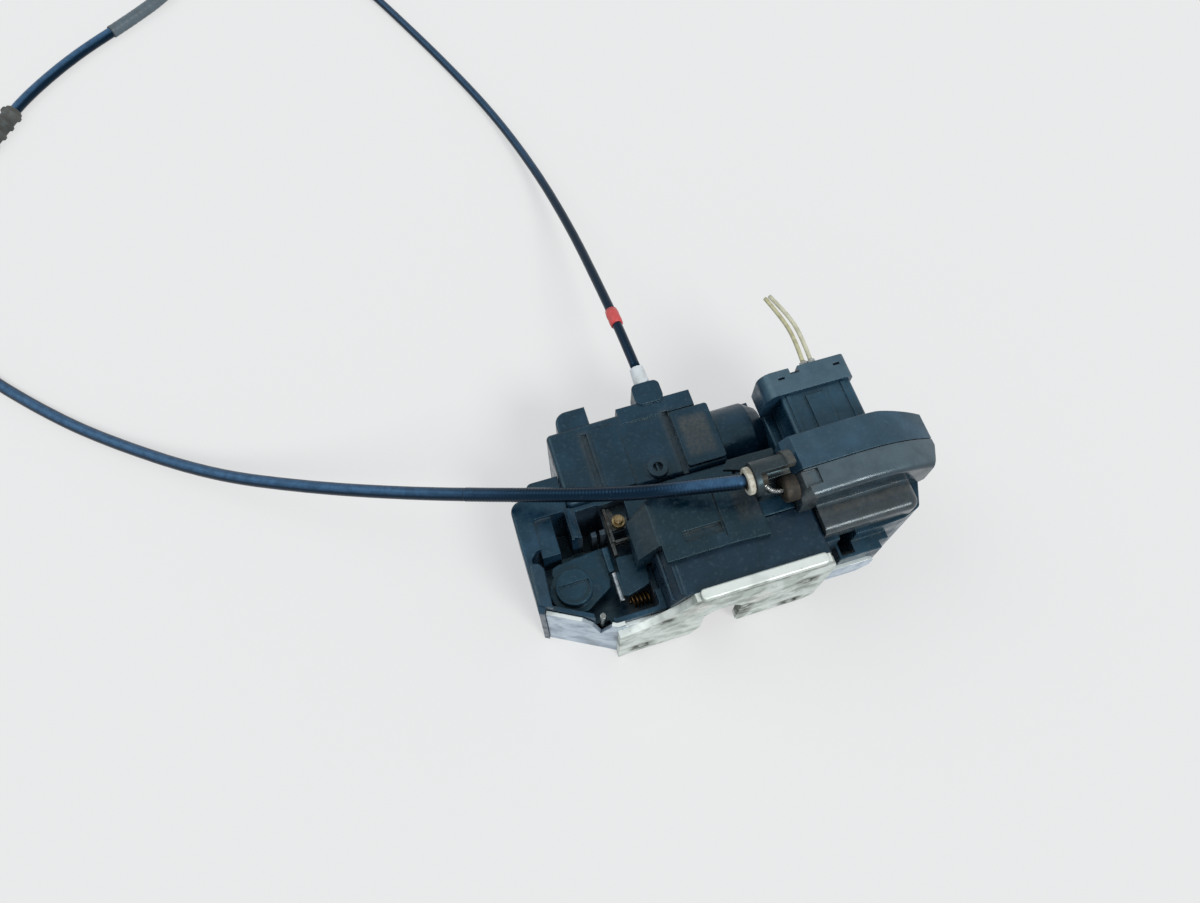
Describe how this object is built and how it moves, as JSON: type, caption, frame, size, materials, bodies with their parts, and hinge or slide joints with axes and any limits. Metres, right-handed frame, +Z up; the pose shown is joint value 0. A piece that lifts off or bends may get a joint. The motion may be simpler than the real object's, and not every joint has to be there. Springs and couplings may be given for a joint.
{
  "type": "door latch actuator",
  "caption": "Vehicle door latch with a slotted striker plate, lever recess, motor actuator housing, arched cable housing, plug and two control cables.",
  "frame": {"origin": "under the middle of the housings, plate and plug, at the level they rest on", "axes": "+X to the right along the latch plate, +Y from the latch plate towards the motor housing, +Z up"},
  "size_m": [0.3866, 0.4938, 0.075],
  "materials": {
    "galvanised_plate": "zinc plated, dusty",
    "galvanised_wing": "zinc plated, smooth",
    "backing_steel": "plain",
    "catch_steel": "hardened, oiled",
    "rivet_steel": "zinc plated",
    "spring_wire": "spring wire",
    "buffer_rubber": "soft",
    "mechanism_plastic": "moulded, worn",
    "lever_case_plastic": "moulded, satin",
    "bright_pin": "plated",
    "frame_steel": "plated, tarnished",
    "bush_brass": "turned, tarnished",
    "detent_wire": "tarnished",
    "latch_cover_plastic": "moulded",
    "release_plastic": "moulded, satin",
    "pivot_plastic": "moulded",
    "flap_plastic": "moulded",
    "bright_rod": "bright drawn",
    "pin_steel": "plain",
    "actuator_case_plastic": "moulded, satin",
    "actuator_cover_plastic": "moulded, satin",
    "screw_steel": "black",
    "motor_steel": "plain",
    "worm_brass": "machined",
    "wheel_nylon": "natural",
    "housing_plastic": "moulded",
    "arch_plastic": "moulded, worn edges",
    "arch_rear_plastic": "moulded, dusty",
    "crank_steel": "plated",
    "bracket_plastic": "moulded, greasy",
    "ferrule_white": "natural",
    "wire_steel": "stranded",
    "boot_rubber": "dusty",
    "front_sheath": "smooth",
    "clip_plastic": "moulded",
    "sleeve_grey": "smooth",
    "end_fitting_steel": "plated",
    "rear_ferrule_white": "natural",
    "rear_sheath": "smooth",
    "band_red": "printed film",
    "terminal_brass": "tinned",
    "plug_plastic": "moulded",
    "cap_plastic": "moulded",
    "seal_rubber": "soft",
    "insulation_left": "extruded",
    "insulation_right": "extruded"
  },
  "bodies": {
    "housing": {"latch_plate": "galvanised_plate", "wing_plate": "galvanised_wing", "backing_plate": "backing_steel", "fork_pivot": "rivet_steel", "pawl_pivot": "rivet_steel", "fork_spring": "spring_wire", "pawl_spring": "spring_wire", "slot_bumper": "buffer_rubber", "mechanism_case": "mechanism_plastic", "lever_case": "lever_case_plastic", "stop_pin": "bright_pin", "guide_frame": "frame_steel", "brass_bush": "bush_brass", "detent_spring": "detent_wire", "latch_cover": "latch_cover_plastic", "lever_pivot": "pivot_plastic", "lock_pivot": "pin_steel", "actuator_case": "actuator_case_plastic", "actuator_cover": "actuator_cover_plastic", "cover_screws": "screw_steel", "motor_can": "motor_steel", "wheel_axle": "pin_steel", "housing_base": "housing_plastic", "side_tab": "galvanised_wing", "arch_front_shell": "arch_plastic", "arch_rear_shell": "arch_rear_plastic", "crank_axle": "pin_steel", "cable_bracket": "bracket_plastic", "front_ferrule": "ferrule_white", "inner_wire": "wire_steel", "wire_boot": "boot_rubber", "front_cable": "front_sheath", "cable_clip": "clip_plastic", "cable_sleeve": "sleeve_grey", "front_end_fitting": "end_fitting_steel", "rear_ferrule": "rear_ferrule_white", "rear_cable": "rear_sheath", "rear_band": "band_red", "rear_end_fitting": "end_fitting_steel", "terminal_block": "terminal_brass", "plug_body": "plug_plastic", "plug_cap": "cap_plastic", "wire_seals": "seal_rubber", "wire_left": "insulation_left", "wire_right": "insulation_right"},
    "catch": {"catch_fork": "catch_steel"},
    "pawl": {"pawl": "catch_steel"},
    "release": {"release_lever": "release_plastic"},
    "lock": {"locking_lever": "flap_plastic", "lock_rod": "bright_rod"},
    "crank": {"bell_crank": "crank_steel"},
    "wheel": {"worm_wheel": "wheel_nylon"},
    "worm": {"worm": "worm_brass"}
  },
  "joints": [
    {"name": "catch_turn", "type": "hinge", "parent": "housing", "child": "catch", "pos_m": [0.0035, -0.03945, 0.0295], "axis": [0, 1, 0], "range_deg": [0, 58], "stiffness_Nm_per_rad": 0.06, "springref_deg": -28.65},
    {"name": "pawl_turn", "type": "hinge", "parent": "housing", "child": "pawl", "pos_m": [-0.023, -0.03945, 0.042], "axis": [0, 1, 0], "range_deg": [0, 7], "stiffness_Nm_per_rad": 0.05, "springref_deg": -22.92},
    {"name": "release_turn", "type": "hinge", "parent": "housing", "child": "release", "pos_m": [-0.062, -0.0239, 0.03], "axis": [0, 0, 1], "range_deg": [0, 12], "stiffness_Nm_per_rad": 0.08, "springref_deg": -22.92},
    {"name": "wheel_turn", "type": "hinge", "parent": "housing", "child": "wheel", "pos_m": [-0.011, 0.0261, 0.027], "axis": [0, 0, 1], "range_deg": [0, 120]},
    {"name": "worm_turn", "type": "hinge", "parent": "housing", "child": "worm", "pos_m": [-0.011, 0.0156, 0.027], "axis": [1, 0, 0], "range_deg": [-1680, 0]},
    {"name": "lock_turn", "type": "hinge", "parent": "housing", "child": "lock", "pos_m": [-0.0315, -0.0159, 0.0335], "axis": [0, 0, 1], "range_deg": [0, 8]},
    {"name": "crank_turn", "type": "hinge", "parent": "housing", "child": "crank", "pos_m": [0.045, -0.0214, 0.043], "axis": [0, 1, 0], "range_deg": [-14, 0], "stiffness_Nm_per_rad": 0.08, "springref_deg": 22.92}
  ],
  "couplings": [
    {"joint": "worm_turn", "follows": "wheel_turn", "ratio": -14},
    {"joint": "lock_turn", "follows": "wheel_turn", "ratio": 0.0666}
  ]
}
